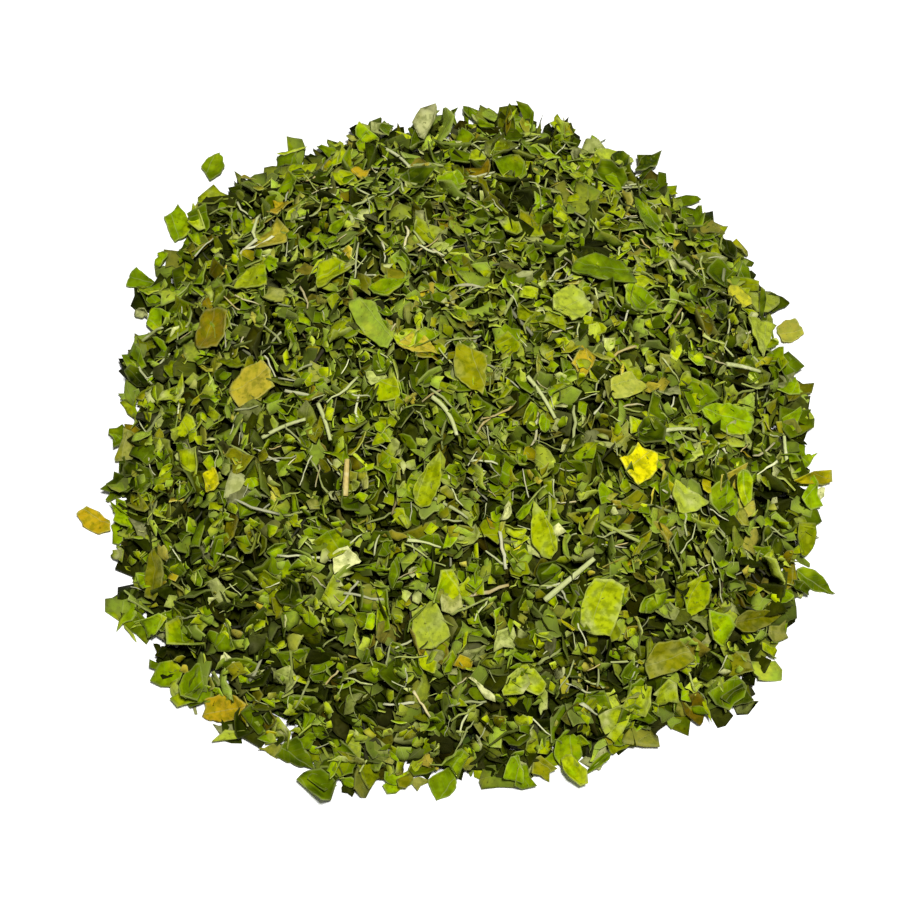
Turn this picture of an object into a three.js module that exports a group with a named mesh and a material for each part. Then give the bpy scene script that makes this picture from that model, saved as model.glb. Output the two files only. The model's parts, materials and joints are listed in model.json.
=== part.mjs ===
// A heap of cut, dried moringa leaf, lying loose on a flat surface.
// Millimetres. +Z is up, +Y is the back of the heap, and it rests on z = 0.
import * as THREE from 'three';
import { mergeVertices } from 'three/addons/utils/BufferGeometryUtils.js';

// Driving dimensions of the heap
const footRadius = 78.5;      // mean radius of the packed foot
const footMiddle = [2.4, -3.2]; // where the middle of the foot lies, X and Y
const crownHeight = 36;       // height of the packed leaf at the middle
const footDepth = 1.2;        // depth of leaf at the very edge of the foot
const domePower = 1.8;        // 2 would be a parabola, less makes a more pointed crown
const swellFade = 0.25;       // share of the radius over which the swells fade out at the foot
const heapSectors = 56;       // divisions round the heap
const heapRings = 17;         // divisions from crown to foot

// Driving dimensions of the loose pieces
const leafThickness = 0.4;    // a dried flake with its small wrinkles
const restGap = 0.35;         // clearance between a loose piece and what it lies on
const stemSides = 6;
const stemSteps = 7;          // divisions along a stalk bit
const innerRing = 0.6;        // where a flake's inner ring of points lies, centre to edge
const leafTwist = 0.25;       // height by which a flake's corners wind out of flat
const stemTaper = 0.25;       // share of its thickness that a stalk bit loses to its far end

// The foot is a rounded square, a little deeper than wide: [lobes, share of the radius, direction].
const footLobes = [
  [2, 0.013, 89],
  [3, 0.023, -25],
  [4, 0.03, 49],
  [6, 0.012, 21],
];

// Low swells in the heap's surface: [height, wave count across X, across Y, shift in radians].
const swells = [
  [0.7, 0.085, 0.05, 0.4],
  [0.6, -0.06, 0.11, 2.1],
  [0.3, 0.19, 0.16, 1.2],
];

// Finishes of dried leaf and stalk
const finishes = {
  brightGreen: ['#86a40c', 0.62],
  green: ['#6f8a0a', 0.64],
  darkGreen: ['#4f6208', 0.66],
  olive: ['#8c8c12', 0.66],
  paleGreen: ['#a3b02c', 0.7],
  yellow: ['#dcd012', 0.6],
  yellowGreen: ['#a6b00a', 0.62],
  cream: ['#d6d588', 0.74],
  tan: ['#b9a63a', 0.72],
  orange: ['#b08a1c', 0.7],
  brown: ['#7c6c10', 0.72],
  straw: ['#c0bb7a', 0.75],
};

const radians = THREE.MathUtils.degToRad;

// ---- The heap's own surface

function footRadiusAt(angle) {
  let share = 1;
  for (const [lobes, amount, direction] of footLobes) {
    share += amount * Math.cos(lobes * (angle - radians(direction)));
  }
  return footRadius * share;
}

function swellAt(x, y) {
  let rise = 0;
  for (const [height, acrossX, acrossY, shift] of swells) {
    rise += height * Math.sin(acrossX * x + acrossY * y + shift);
  }
  return rise;
}

// Height of the packed leaf above the floor, and zero outside the foot.
function surfaceAt(x, y) {
  const [middleX, middleY] = footMiddle;
  const angle = Math.atan2(y - middleY, x - middleX);
  const reach = Math.hypot(x - middleX, y - middleY) / footRadiusAt(angle);
  if (reach >= 1) {
    return 0;
  }
  const dome = 1 - Math.pow(reach, domePower);
  const fade = Math.min(1, (1 - reach) / swellFade);
  return footDepth + (crownHeight - footDepth) * dome + swellAt(x, y) * fade;
}

// Upward direction of the heap's surface, taken across a span so that small swells don't tip a flake.
function slopeAt(x, y, span = 4) {
  const alongX = (surfaceAt(x + span, y) - surfaceAt(x - span, y)) / (2 * span);
  const alongY = (surfaceAt(x, y + span) - surfaceAt(x, y - span)) / (2 * span);
  return new THREE.Vector3(-alongX, -alongY, 1).normalize();
}

// ---- Closed bodies

// Joins a geometry's doubled points, so that it is one closed body.
function closed(geometry) {
  geometry.deleteAttribute('normal');
  geometry.deleteAttribute('uv');
  const body = mergeVertices(geometry, 1e-4);
  body.computeVertexNormals();
  return body;
}

// Moves each point of a geometry by a function of the point.
function reshape(geometry, move) {
  const points = geometry.getAttribute('position');
  const point = new THREE.Vector3();
  for (let i = 0; i < points.count; i += 1) {
    point.fromBufferAttribute(points, i);
    move(point);
    points.setXYZ(i, point.x, point.y, point.z);
  }
  points.needsUpdate = true;
  return geometry;
}

function finished(name, geometry, finish) {
  const [color, roughness] = finishes[finish];
  const material = new THREE.MeshStandardMaterial({ color, roughness, metalness: 0 });
  const mesh = new THREE.Mesh(geometry, material);
  mesh.name = name;
  return mesh;
}

// The packed mass: a lathed dome of unit radius, drawn out to the foot's outline and the heap's surface.
function packedBulk() {
  const section = [new THREE.Vector2(0, 0), new THREE.Vector2(1, 0)];
  for (let ring = heapRings; ring >= 0; ring -= 1) {
    section.push(new THREE.Vector2(ring / heapRings, 1));
  }
  const lathe = new THREE.LatheGeometry(section, heapSectors);
  lathe.rotateX(Math.PI / 2);
  const body = closed(lathe);
  reshape(body, (point) => {
    const angle = Math.atan2(point.y, point.x);
    const reach = Math.hypot(point.x, point.y);
    const radius = reach * footRadiusAt(angle);
    point.x = footMiddle[0] + radius * Math.cos(angle);
    point.y = footMiddle[1] + radius * Math.sin(angle);
    // The lathe's top is at 1 and its base at 0; the surface is never lower than the foot's edge.
    point.z *= Math.max(footDepth, surfaceAt(point.x, point.y));
  });
  body.computeVertexNormals();
  return finished('packed_leaf_bulk', body, 'green');
}

// ---- Outlines of flakes, one long and one wide, going round their middle

const outlines = {
  square: [[0.5, -0.1], [0.44, 0.36], [0.1, 0.5], [-0.36, 0.44], [-0.5, 0.2], [-0.47, -0.36],
    [-0.05, -0.5], [0.38, -0.44]],
  triangle: [[0.5, -0.42], [0.22, 0], [-0.08, 0.5], [-0.34, 0.22], [-0.5, -0.32], [-0.2, -0.46],
    [0.14, -0.5]],
  kite: [[0.5, 0.02], [0.16, 0.36], [-0.14, 0.5], [-0.34, 0.16], [-0.5, -0.08], [-0.24, -0.4],
    [0.04, -0.5], [0.3, -0.26]],
  trapezoid: [[0.5, -0.36], [0.34, 0.06], [0.26, 0.46], [-0.1, 0.5], [-0.32, 0.4], [-0.42, 0],
    [-0.5, -0.46], [0, -0.5]],
  strip: [[0.5, 0.1], [0.3, 0.44], [-0.1, 0.5], [-0.44, 0.34], [-0.5, -0.24], [-0.2, -0.5],
    [0.24, -0.38]],
  lobed: [[0.46, -0.16], [0.5, 0.22], [0.2, 0.34], [0.06, 0.5], [-0.2, 0.3], [-0.46, 0.38],
    [-0.5, -0.04], [-0.3, -0.36], [0.02, -0.5], [0.18, -0.3]],
  star: [[0.5, 0.04], [0.22, 0.18], [0.14, 0.5], [-0.12, 0.24], [-0.46, 0.32], [-0.28, -0.02],
    [-0.5, -0.34], [-0.04, -0.28], [0.3, -0.5], [0.26, -0.14]],
  boot: [[0.5, -0.44], [0.46, 0.02], [0.18, 0.1], [-0.1, 0.5], [-0.4, 0.42], [-0.5, 0.14], [-0.3, -0.16],
    [-0.02, -0.36], [0.24, -0.5]],
  barbed: [[0.5, 0], [0.26, 0.3], [0.2, 0.5], [-0.16, 0.32], [-0.46, 0.44], [-0.5, -0.08], [-0.42, -0.44],
    [0.04, -0.5], [0.3, -0.36]],
  heart: [[0.5, -0.04], [0.3, 0.3], [0.02, 0.5], [-0.34, 0.42], [-0.5, 0.16], [-0.36, -0.04],
    [-0.5, -0.3], [-0.22, -0.5], [0.22, -0.36]],
};

// A nearly whole leaflet: an egg-shaped outline, pointed at the tip and cut short at the stalk end.
function leafletOutline(points = 12) {
  const outline = [];
  for (let i = 0; i < points; i += 1) {
    const angle = (2 * Math.PI * i) / points;
    const fullness = 1 - 0.28 * Math.cos(angle);
    outline.push([0.5 * Math.cos(angle), 0.42 * Math.sin(angle) * fullness]);
  }
  return outline;
}

// A half leaflet: one side is the straight cut, the other the leaf's own round margin.
function halfOutline(points = 8) {
  const outline = [[-0.5, -0.46], [0.08, -0.5]];
  for (let i = 0; i < points; i += 1) {
    const angle = (Math.PI * i) / (points - 1);
    outline.push([0.5 * Math.cos(angle), -0.4 + 0.9 * Math.sin(angle)]);
  }
  return outline;
}

// A long pointed flake, widest a third of the way along.
function pointedOutline() {
  return [[0.5, 0], [0.16, 0.34], [-0.16, 0.5], [-0.42, 0.3], [-0.5, -0.06], [-0.38, -0.4],
    [-0.1, -0.5], [0.2, -0.32]];
}

function outlineOf(shape) {
  const drawn = { leaflet: leafletOutline, half: halfOutline, pointed: pointedOutline };
  return shape in drawn ? drawn[shape]() : outlines[shape];
}

// ---- Loose pieces

// A flat plate with the outline given: two skins of a centre fan and one ring, and a rim between them.
function plate(outline) {
  const half = leafThickness / 2;
  const section = [[0, -half], [innerRing, -half], [1, -half], [1, half], [innerRing, half], [0, half]];
  const profile = section.map(([reach, height]) => new THREE.Vector2(reach, height));
  const lathe = new THREE.LatheGeometry(profile, outline.length);
  lathe.rotateX(Math.PI / 2);
  const body = closed(lathe);
  const sector = (2 * Math.PI) / outline.length;
  return reshape(body, (point) => {
    const reach = Math.hypot(point.x, point.y);
    const turned = Math.atan2(point.y, point.x) + 2 * Math.PI;
    const corner = outline[Math.round(turned / sector) % outline.length];
    point.x = reach * corner[0];
    point.y = reach * corner[1];
  });
}

// Turns a geometry to lie on a slope, sets it down at a place, and lifts it to rest just clear of the
// heap and of the floor.
function settle(geometry, [x, y], turn, lean, pitch) {
  const place = new THREE.Matrix4().makeRotationZ(radians(turn));
  const tip = new THREE.Matrix4().makeRotationX(radians(lean));
  const nod = new THREE.Matrix4().makeRotationY(-radians(pitch));
  const up = slopeAt(x, y);
  const slope = new THREE.Matrix4().makeRotationFromQuaternion(
    new THREE.Quaternion().setFromUnitVectors(new THREE.Vector3(0, 0, 1), up),
  );
  geometry.applyMatrix4(slope.multiply(place).multiply(nod).multiply(tip));
  geometry.translate(x, y, 0);
  const points = geometry.getAttribute('position');
  let lift = -Infinity;
  for (let i = 0; i < points.count; i += 1) {
    const ground = surfaceAt(points.getX(i), points.getY(i));
    const clear = ground > 0 ? ground + restGap : 0;
    lift = Math.max(lift, clear - points.getZ(i));
  }
  geometry.translate(0, 0, lift);
  geometry.computeVertexNormals();
  return geometry;
}

// One flake of leaf. size is [length, width]; turn is the direction of its length seen from above;
// lean and pitch tip it off the slope across and along its length; curl lifts its two ends and fold
// lifts its two sides, both in millimetres.
function flake(name, shape, finish, size, at, turn, form = {}) {
  const { lean = 0, pitch = 0, curl = 0.5, fold = 0.4 } = form;
  const [length, width] = size;
  const body = reshape(plate(outlineOf(shape)), (point) => {
    const along = 2 * point.x;
    const across = 2 * point.y;
    point.x *= length;
    point.y *= width;
    point.z += curl * along * along + fold * Math.abs(across) + leafTwist * along * across;
  });
  return finished(name, settle(body, at, turn, lean, pitch), finish);
}

// One bit of stalk: a rod that bows sideways and tapers to its far end.
function stem(name, finish, length, thickness, at, turn, bow = 0, pitch = 0) {
  const half = length / 2;
  const route = new THREE.QuadraticBezierCurve3(
    new THREE.Vector3(-half, 0, 0),
    new THREE.Vector3(0, 2 * bow, 0),
    new THREE.Vector3(half, 0, 0),
  );
  const section = new THREE.Shape();
  for (let i = 0; i < stemSides; i += 1) {
    const angle = (2 * Math.PI * i) / stemSides;
    const x = 0.5 * thickness * Math.cos(angle);
    const y = 0.5 * thickness * Math.sin(angle);
    if (i === 0) {
      section.moveTo(x, y);
    } else {
      section.lineTo(x, y);
    }
  }
  const rod = new THREE.ExtrudeGeometry(section, { steps: stemSteps, extrudePath: route });
  const body = reshape(closed(rod), (point) => {
    const taper = 1 - stemTaper * (0.5 + point.x / length);
    point.y = (point.y - bow) * taper + bow;
    point.z *= taper;
  });
  return finished(name, settle(body, at, turn, 0, pitch), finish);
}

// ---- The pieces, place by place; positions are X and Y, before the heap is centred

function strayPieces() {
  return [
    flake('stray_green_flake', 'kite', 'green', [8, 5.5], [-55.7, 66.9], 70, { curl: 0.9, fold: 1.4 }),
    flake('stray_tan_flake', 'strip', 'orange', [8.5, 5], [-79.8, -22.1], -38, { curl: 1.5 }),
    flake('stray_triangle_flake', 'triangle', 'green', [7, 5.5], [-72, 38.3], 10),
    flake('spike_flake', 'pointed', 'darkGreen', [10, 4.5], [82.3, -36.1], -35, { curl: 1 }),
  ];
}

function upperLeftPieces() {
  return [
    flake('brown_square_flake', 'square', 'brown', [10.5, 9], [-53.3, 19.4], 80, { curl: 0.8 }),
    flake('orange_star_flake', 'star', 'orange', [6.5, 6], [-38.9, 52], 60),
    flake('pale_kite_flake', 'kite', 'paleGreen', [9, 7], [-35, 63.9], 15, { lean: 8 }),
    flake('pale_trapezoid_flake', 'trapezoid', 'paleGreen', [8.5, 7], [-44, 31], -10),
    flake('corner_flake', 'lobed', 'green', [9.5, 7.5], [-63.5, 51.9], 75, { fold: 1 }),
    flake('lobed_left_flake', 'lobed', 'green', [9, 7], [-66.8, 26.3], 100, { lean: 5 }),
    flake('folded_yellow_green_flake', 'half', 'yellowGreen', [9, 6.5], [-26, 28], 30,
      { fold: 2 }),
  ];
}

function topPieces() {
  return [
    flake('mottled_lobed_flake', 'lobed', 'brightGreen', [10, 9], [0.8, 54.4], 55, { curl: 0.9 }),
    flake('orange_chip', 'star', 'orange', [6, 4.5], [-20, 60], -40),
    flake('green_oval_flake', 'pointed', 'brightGreen', [9, 5], [-13.2, 22.8], 10, { curl: 1.2 }),
    flake('large_green_flake', 'boot', 'brightGreen', [16, 8], [-16.8, 14.0], -38, { fold: 1 }),
    flake('olive_tan_triangle', 'triangle', 'tan', [9.5, 6.5], [-6, 8], -12),
    flake('big_pale_flake', 'square', 'paleGreen', [9.5, 8.5], [27, 18.9], 50, { curl: 0.9 }),
    flake('pointed_green_flake', 'pointed', 'green', [12, 5], [45.4, 50.4], 110, { fold: 1 }),
    flake('large_dark_flake', 'half', 'darkGreen', [15.5, 8.5], [34.5, 30.8], 0, { fold: 0.9 }),
    flake('pale_olive_flake', 'half', 'paleGreen', [10, 5.5], [38.4, 68.8], 5, { curl: 1.3 }),
  ];
}

function rightPieces() {
  return [
    flake('heart_shaped_flake', 'heart', 'green', [9, 7.5], [42.6, 23.8], 120),
    flake('yellow_corner_flake', 'strip', 'yellow', [7.5, 5], [66.9, 31], -25),
    flake('dark_round_flake', 'leaflet', 'darkGreen', [6.5, 7], [61.2, 25.8], 20, { curl: 1 }),
    flake('pale_triangle_flake', 'triangle', 'paleGreen', [10, 9], [72.4, 22.6], -60, { fold: 0.8 }),
    flake('brown_edge_flake', 'square', 'brown', [6, 5.5], [79.2, 24.8], 30),
    flake('near_whole_leaflet', 'leaflet', 'brightGreen', [14, 8.5], [62.1, -1.6], 175,
      { curl: 1, fold: 0.8 }),
    flake('pale_tan_triangle', 'triangle', 'cream', [9.5, 8.5], [52, -22], 30),
    flake('round_green_flake', 'heart', 'green', [9.5, 8.5], [60.9, -20.6], 80, { curl: 0.8 }),
    flake('long_curled_flake', 'pointed', 'olive', [13.5, 5], [68, -46], 12, { fold: 1.8 }),
  ];
}

function middlePieces() {
  return [
    flake('ribbed_tan_flake', 'square', 'tan', [11, 9], [-43.3, 3.5], 30, { curl: 0.9 }),
    flake('large_olive_flake', 'kite', 'olive', [13.5, 8], [4.9, 0.5], -70, { fold: 0.8 }),
    flake('yellow_green_square', 'square', 'yellowGreen', [6, 6], [-13, -3], 15),
    flake('folded_middle_flake', 'pointed', 'paleGreen', [13, 5.5], [-4, -23], 70, { fold: 2 }),
    flake('cream_flake', 'trapezoid', 'cream', [6.5, 5], [-22.3, -38.3], 20),
    flake('bright_yellow_flake', 'barbed', 'yellow', [9.5, 8], [41.8, -16.7], 35),
    flake('olive_tan_trapezoid', 'trapezoid', 'tan', [11, 5.5], [39, 1], 25),
    flake('light_pointed_flake', 'pointed', 'brightGreen', [13, 5.5], [20, -33], 105,
      { fold: 1 }),
    flake('yellow_chip', 'lobed', 'yellow', [6, 5.5], [-52, -18], 60),
    flake('olive_upright_flake', 'strip', 'olive', [11.5, 5.5], [-65, -36], 80, { curl: 1 }),
  ];
}

function frontPieces() {
  return [
    flake('large_bright_flake', 'square', 'brightGreen', [13, 9], [32.9, -47.4], 80, { curl: 1.2 }),
    flake('olive_green_flake', 'kite', 'green', [10.5, 7.5], [54, -43], 65),
    flake('folded_olive_flake', 'half', 'olive', [11.5, 8], [47.4, -55.7], 20, { fold: 1.8 }),
    flake('orange_tan_foot_flake', 'strip', 'orange', [10.5, 6.5], [-48.8, -65.5], 0),
    flake('dark_foot_triangle', 'triangle', 'darkGreen', [9.5, 6.5], [-32.8, -75.1], -15),
    flake('pale_lobed_flake', 'lobed', 'paleGreen', [11.5, 10], [-4, -52], 60, { curl: 1 }),
    flake('front_foot_flake', 'kite', 'green', [8.5, 6.5], [-1.2, -81.8], 60, { curl: 0.8 }),
    flake('bright_front_flake', 'leaflet', 'brightGreen', [8.5, 7.5], [25.9, -74.4], 100),
    flake('pale_front_triangle', 'triangle', 'paleGreen', [11, 7], [36, -68], 70, { fold: 1 }),
  ];
}

function stemPieces() {
  return [
    stem('long_thin_stem', 'straw', 15, 0.9, [-13, 66], -58, 1, 0),
    stem('widest_pale_stem', 'straw', 14, 1.4, [26, -43], 42, 0, 4),
    stem('crossed_stem', 'straw', 10, 1, [-27, -9], -70, 0.3, 3),
    stem('left_stem', 'straw', 11, 1, [-36, -9], 12, 0.6, 0),
    stem('tan_stem_strip', 'tan', 8, 1.5, [-22, -22], 85, 0, 0),
    stem('curved_stem', 'straw', 10, 1.1, [-1, -10], -60, 1.2, 0),
    stem('right_stem', 'straw', 10, 1, [51, -7], 15, 0.4, 0),
    stem('edge_stem', 'straw', 10, 1, [77, -6], 95, 0.5, 0),
    stem('level_stem', 'straw', 10.5, 1.1, [67, 12], 5, 0.3, 0),
    stem('middle_stem', 'straw', 11, 1, [20, -5], -55, 0.5, 0),
  ];
}

// ---- The heap, with the middle of its base at the origin

function buildHeap() {
  const heap = new THREE.Group();
  heap.add(packedBulk());
  const groups = [strayPieces, upperLeftPieces, topPieces, rightPieces, middlePieces, frontPieces,
    stemPieces];
  for (const pieces of groups) {
    heap.add(...pieces());
  }
  const box = new THREE.Box3().setFromObject(heap, true);
  const middle = box.getCenter(new THREE.Vector3());
  heap.position.set(-middle.x, -middle.y, -box.min.z);
  heap.updateMatrixWorld(true);
  return heap;
}

export default buildHeap();
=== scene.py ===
import json
import math

import bmesh
import bpy
import numpy as np
from mathutils import Matrix, Vector, noise
from mathutils.bvhtree import BVHTree

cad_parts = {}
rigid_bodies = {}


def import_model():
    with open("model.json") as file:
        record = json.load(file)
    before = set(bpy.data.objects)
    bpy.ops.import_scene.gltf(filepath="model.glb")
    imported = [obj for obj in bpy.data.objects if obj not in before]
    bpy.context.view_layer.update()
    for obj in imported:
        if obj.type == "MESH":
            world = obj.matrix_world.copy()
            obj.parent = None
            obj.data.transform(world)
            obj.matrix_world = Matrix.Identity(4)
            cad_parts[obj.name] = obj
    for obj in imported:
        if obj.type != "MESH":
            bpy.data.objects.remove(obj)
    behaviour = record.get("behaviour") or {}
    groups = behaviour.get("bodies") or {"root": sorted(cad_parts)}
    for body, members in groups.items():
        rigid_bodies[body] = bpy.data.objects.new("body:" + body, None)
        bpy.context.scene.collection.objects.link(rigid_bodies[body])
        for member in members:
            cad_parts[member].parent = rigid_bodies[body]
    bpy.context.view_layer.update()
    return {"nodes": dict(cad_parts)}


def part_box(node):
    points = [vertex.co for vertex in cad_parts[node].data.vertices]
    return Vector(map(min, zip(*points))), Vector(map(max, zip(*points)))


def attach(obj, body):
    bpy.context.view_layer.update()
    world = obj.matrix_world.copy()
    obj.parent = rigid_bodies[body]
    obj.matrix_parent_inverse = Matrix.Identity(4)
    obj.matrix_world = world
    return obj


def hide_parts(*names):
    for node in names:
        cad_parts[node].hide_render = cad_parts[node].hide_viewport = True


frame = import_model()
print("frame loaded:", len(frame["nodes"]), "pieces")

mm = 0.001
bulkNode = "packed_leaf_bulk"

# Where each colour of dried leaf sits on the leaf finish's colour scale
tones = {
    "black": 0.02, "darkGreen": 0.14, "green": 0.3, "brightGreen": 0.42, "yellowGreen": 0.53,
    "paleGreen": 0.63, "greyGreen": 0.7, "cream": 0.76, "olive": 0.82, "tan": 0.88,
    "orange": 0.92, "brown": 0.96, "yellow": 1.0,
}

# ---- shader maths: a socket that takes part in Python expressions


class Wire:
    def __init__(self, finish, socket):
        self.finish, self.socket = finish, socket

    def maths(self, operation, *values):
        inputs = dict(enumerate(values))
        return self.finish.node("ShaderNodeMath", {"operation": operation}, inputs)

    def __add__(self, other):
        return self.maths("ADD", self, other)

    def __sub__(self, other):
        return self.maths("SUBTRACT", self, other)

    def __rsub__(self, other):
        return self.maths("SUBTRACT", other, self)

    def __mul__(self, other):
        return self.maths("MULTIPLY", self, other)

    def __truediv__(self, other):
        return self.maths("DIVIDE", self, other)

    __radd__, __rmul__ = __add__, __mul__

    def size(self):
        return self.maths("ABSOLUTE", self)

    def fraction(self):
        return self.maths("FRACT", self)

    def between(self, low, high, lowValue=0.0, highValue=1.0):
        inputs = {"Value": self, "From Min": low, "From Max": high, "To Min": lowValue, "To Max": highValue}
        return self.finish.node("ShaderNodeMapRange", {"interpolation_type": "SMOOTHSTEP"}, inputs)


class Finish:
    def __init__(self, name):
        self.material = bpy.data.materials.new(name)
        self.material.use_nodes = True
        self.tree = self.material.node_tree
        self.tree.nodes.clear()

    def node(self, kind, settings=None, inputs=None, out=0):
        made = self.tree.nodes.new(kind)
        for key, value in (settings or {}).items():
            if key == "stops":
                fillRamp(made.color_ramp, value)
            else:
                setattr(made, key, value)
        for key, value in (inputs or {}).items():
            if isinstance(value, Wire):
                self.tree.links.new(value.socket, made.inputs[key])
            else:
                made.inputs[key].default_value = value
        return Wire(self, made.outputs[out]) if len(made.outputs) else None

    def attribute(self, name, out="Fac"):
        return self.node("ShaderNodeAttribute", {"attribute_name": name}, out=out)

    def blend(self, factor, first, second, mode="MIX"):
        settings = {"data_type": "RGBA", "blend_type": mode, "clamp_factor": True}
        return self.node("ShaderNodeMix", settings, {0: factor, 6: first, 7: second}, out=2)

    def speckle(self, place, scale, detail=2.0, roughness=0.5, out=0):
        inputs = {"Vector": place, "Scale": scale, "Detail": detail, "Roughness": roughness}
        return self.node("ShaderNodeTexNoise", {}, inputs, out=out)

    def surface(self, **inputs):
        shader = self.node("ShaderNodeBsdfPrincipled", {}, {k.replace("_", " "): v for k, v in inputs.items()})
        self.node("ShaderNodeOutputMaterial", {}, {"Surface": shader})
        return self.material


def fillRamp(ramp, stops):
    ramp.interpolation = "LINEAR"
    while len(ramp.elements) < len(stops):
        ramp.elements.new(1.0)
    for element, (place, colour) in zip(ramp.elements, stops):
        element.position = place
        element.color = rgb(colour)


def rgb(text, alpha=1.0):  # a screen colour such as "86a40c", as the linear light it stands for
    shares = [int(text[i:i + 2], 16) / 255 for i in (0, 2, 4)]
    linear = [s / 12.92 if s <= 0.04045 else ((s + 0.055) / 1.055) ** 2.4 for s in shares]
    return (*linear, alpha)


# ---- finishes

leafLook = {
    "veinSpacing": 1.5,        # mm between side veins
    "veinLean": 0.8,           # how far the side veins sweep forward
    "midribHalfWidth": 0.16,   # mm
    "mottleSize": 1.4,         # mm
    "drift": 0.5,              # how far a flake's colour drifts from one end to the other
    "rimFrom": 0.86,           # share of the way from a flake's middle to its edge
    "rimPaleAndHighlight": 0.26,
    "undersidePaleness": 0.26,
    "roughness": (0.5, 0.78),
    "bump": 0.00009,           # m
}

leafColours = [
    (0.0, "161f06"), (0.1, "304000"), (0.2, "506600"), (0.32, "718c00"), (0.43, "8ba700"),
    (0.53, "a8b400"), (0.63, "afbe16"), (0.7, "b0bb58"), (0.76, "d6d794"), (0.82, "8f8e02"),
    (0.88, "bcab34"), (0.92, "b1940f"), (0.96, "7e7006"), (1.0, "e6dc06"),
]


def leafFinish():
    look = leafLook
    f = Finish("driedLeaf")
    place = f.node("ShaderNodeTexCoord", out="Object")
    leafMap = f.node("ShaderNodeUVMap", {"uv_map": "leafMap"})
    along = f.node("ShaderNodeSeparateXYZ", {}, {0: leafMap}, out=0) * 20.0
    across = f.node("ShaderNodeSeparateXYZ", {}, {0: leafMap}, out=1) * 20.0
    tone, shade = f.attribute("tone"), f.attribute("shade")
    reach, underside = f.attribute("reach"), f.attribute("underside")

    # the leaf's own colour, shifting a little across each flake
    mottle = f.speckle(place, 1 / (look["mottleSize"] * mm), 3.0)
    cloud = f.speckle(place, 1 / (4.5 * mm), 1.0)
    drift = tone.between(0.64, 0.74, look["drift"], look["drift"] * 0.1)
    base = f.node("ShaderNodeValToRGB", {"stops": leafColours}, {0: tone + (cloud - 0.5) * drift})
    dull = f.blend(mottle.between(0.42, 0.62), base, f.blend(0.5, base, rgb("566400")))
    colour = f.blend(cloud.between(0.5, 0.75) * 0.3, dull, f.blend(0.6, base, rgb("aeb41c")))

    # midrib and side veins, paler than the blade
    midrib = across.size().between(look["midribHalfWidth"] * 0.5, look["midribHalfWidth"], 1.0, 0.0)
    sweep = (along - across.size() * look["veinLean"]) / look["veinSpacing"]
    rib = (sweep.fraction() - 0.5).size()
    sideVein = rib.between(0.44, 0.5) * across.size().between(0.2, 3.6, 1.0, 0.35)
    veins = midrib + sideVein * 0.5
    colour = f.blend(veins * 0.25, colour, f.blend(0.5, colour, rgb("d5d992")))

    # paler matt underside; a paler rim, partly the broken edge's own colour and partly a painted highlight along the
    # edge; and small brown specks
    greyed = f.blend(look["undersidePaleness"], colour, rgb("a9b45c"))
    colour = f.blend(underside, colour, greyed)
    # the rim: the edge's own paler colour and a painted highlight along the edge
    rim = reach.between(look["rimFrom"], 1.0) * mottle.between(0.3, 0.55, 0.4, 1.0)
    colour = f.blend(rim * look["rimPaleAndHighlight"], colour, rgb("ccd086"))
    speck = f.speckle(place, 1 / (0.7 * mm), 1.0).between(0.7, 0.76)
    colour = f.blend(speck * 0.6, colour, rgb("4a4210"))
    # shade multiplies the colour: each flake's own lightness, with painted shade on loose flakes deep in the heap
    colour = f.blend(1.0, colour, f.node("ShaderNodeCombineColor", {}, {0: shade, 1: shade, 2: shade}), "MULTIPLY")

    low, high = look["roughness"]
    roughness = mottle.between(0.3, 0.7, low, high) + underside * 0.08
    crinkle = f.speckle(place, 1 / (0.55 * mm), 3.0)
    height = crinkle * 0.5 + mottle * 0.6 + veins * (underside * 1.6 - 0.8)
    bump = f.node("ShaderNodeBump", {}, {"Strength": 0.9, "Distance": look["bump"], "Height": height})
    return f.surface(Base_Color=colour, Roughness=roughness, Normal=bump, Specular_IOR_Level=0.12,
                     Specular_Tint=(0.85, 1.0, 0.12, 1.0))


stalkLook = {"fibreSize": 0.16, "roughness": 0.7, "bump": 0.00005}


def stalkFinish():
    f = Finish("driedStalk")
    place = f.node("ShaderNodeTexCoord", out="Object")
    stalkMap = f.node("ShaderNodeUVMap", {"uv_map": "leafMap"})
    stretch = f.node("ShaderNodeMapping", {}, {"Vector": stalkMap, "Scale": (8.0, 60.0, 1.0)})
    fibre = f.speckle(stretch, 1.0, 3.0)
    blotch = f.speckle(place, 1 / (2.6 * mm), 2.0)
    tone, shade = f.attribute("tone"), f.attribute("shade")
    stops = [(0.0, "98a348"), (0.35, "b9c07c"), (0.85, "dadab0"), (1.0, "c4ae66")]
    base = f.node("ShaderNodeValToRGB", {"stops": stops}, {0: tone + (blotch - 0.5) * 0.25})
    colour = f.blend(fibre.between(0.35, 0.65) * 0.5, base, f.blend(0.5, base, rgb("5f6420")))
    colour = f.blend(blotch.between(0.6, 0.75) * 0.5, colour, rgb("e2e0b8"))
    # shade multiplies the colour: each stalk bit's own lightness, with painted shade on bits deep in the heap
    colour = f.blend(1.0, colour, f.node("ShaderNodeCombineColor", {}, {0: shade, 1: shade, 2: shade}), "MULTIPLY")
    height = fibre * 1.0 + blotch * 0.4
    bump = f.node("ShaderNodeBump", {}, {"Strength": 0.8, "Distance": stalkLook["bump"], "Height": height})
    roughness = fibre.between(0.3, 0.7, stalkLook["roughness"] - 0.1, stalkLook["roughness"] + 0.12)
    return f.surface(Base_Color=colour, Roughness=roughness, Normal=bump, Specular_IOR_Level=0.15)


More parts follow.
